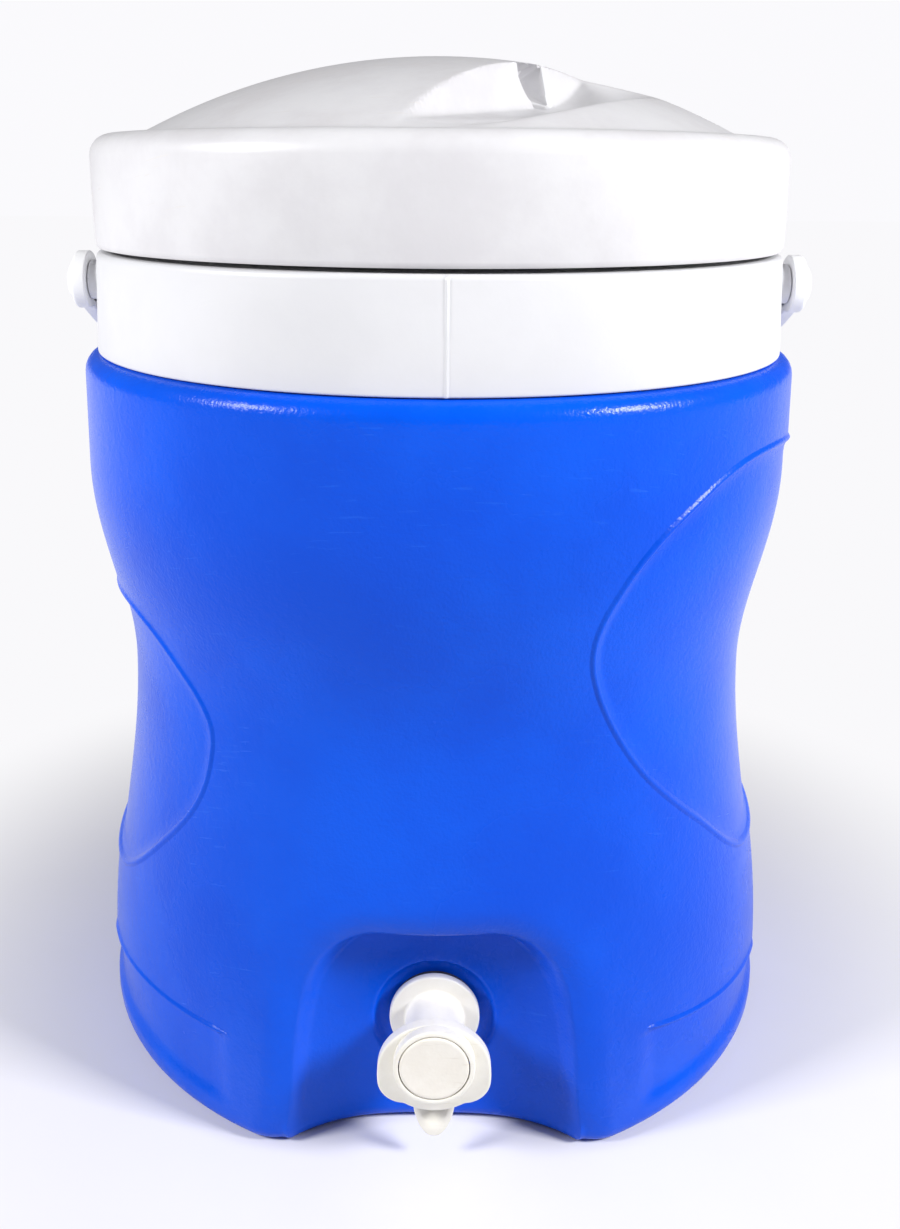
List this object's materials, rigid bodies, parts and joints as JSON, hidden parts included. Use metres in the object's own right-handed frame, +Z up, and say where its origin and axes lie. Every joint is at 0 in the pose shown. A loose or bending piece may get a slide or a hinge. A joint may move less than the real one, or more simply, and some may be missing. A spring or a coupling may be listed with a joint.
{
  "type": "insulated beverage dispenser",
  "caption": "Insulated drinks jug with a drawn-in waist, twist-off domed lid, swinging bail handle and a push-button spigot in a recess at its foot.",
  "frame": {"origin": "centre of the flat base, on the surface that the jug stands on", "axes": "+Z up along the jug's axis, -Y towards the spigot, +X to the right as seen from the spigot side"},
  "size_m": [0.301, 0.3003, 0.3856],
  "materials": {
    "shell_blue": "blow-moulded polyethylene with a fine pebble and a soft gloss",
    "collar_white": "satin moulded plastic, cool white",
    "lid_white": "satin moulded plastic, cool white with light scuffs",
    "handle_white": "satin moulded plastic",
    "vessel_white": "smooth food-grade plastic",
    "spigot_ivory": "smooth moulded plastic, warm white",
    "button_white": "smooth moulded plastic",
    "seal_rubber": "matt food-grade rubber",
    "spring_steel": "drawn stainless wire",
    "foam": "rigid closed-cell foam, hidden between the walls"
  },
  "bodies": {
    "jug": {"outer_shell": "shell_blue", "shell_foam": "foam", "inner_liner": "vessel_white", "foam_plug": "shell_blue", "collar": "collar_white", "pivot_pin_left": "handle_white", "pivot_pin_right": "handle_white", "wall_sleeve": "spigot_ivory", "outer_washer": "seal_rubber", "spigot_body": "spigot_ivory", "spigot_bezel": "spigot_ivory", "inner_washer": "seal_rubber", "lock_nut": "spigot_ivory"},
    "bail": {"bail_handle": "handle_white"},
    "lid_seal": {"lid_gasket": "seal_rubber"},
    "lid": {"lid_shell": "lid_white", "lid_foam": "foam", "lid_pan": "vessel_white"},
    "button": {"spigot_button": "button_white", "spigot_stem": "button_white", "spigot_spring": "spring_steel", "valve_seal": "seal_rubber", "seal_clip": "button_white"}
  },
  "joints": [
    {"name": "bail_swing", "type": "hinge", "parent": "jug", "child": "bail", "pos_m": [0, 0, 0.2985], "axis": [1, 0, 0], "range_deg": [0, 230]},
    {"name": "lid_lift", "type": "slide", "parent": "jug", "child": "lid_seal", "axis": [0, 0, 1], "range_m": [0, 0.06]},
    {"name": "lid_turn", "type": "hinge", "parent": "lid_seal", "child": "lid", "pos_m": [0, 0, 0.33], "axis": [0, 0, 1], "range_deg": [0, 90]},
    {"name": "button_push", "type": "slide", "parent": "jug", "child": "button", "axis": [0, 1, 0], "range_m": [0, 0.004], "stiffness_N_per_m": 400, "springref_m": -0.004, "deforming": ["spigot_spring"]}
  ]
}
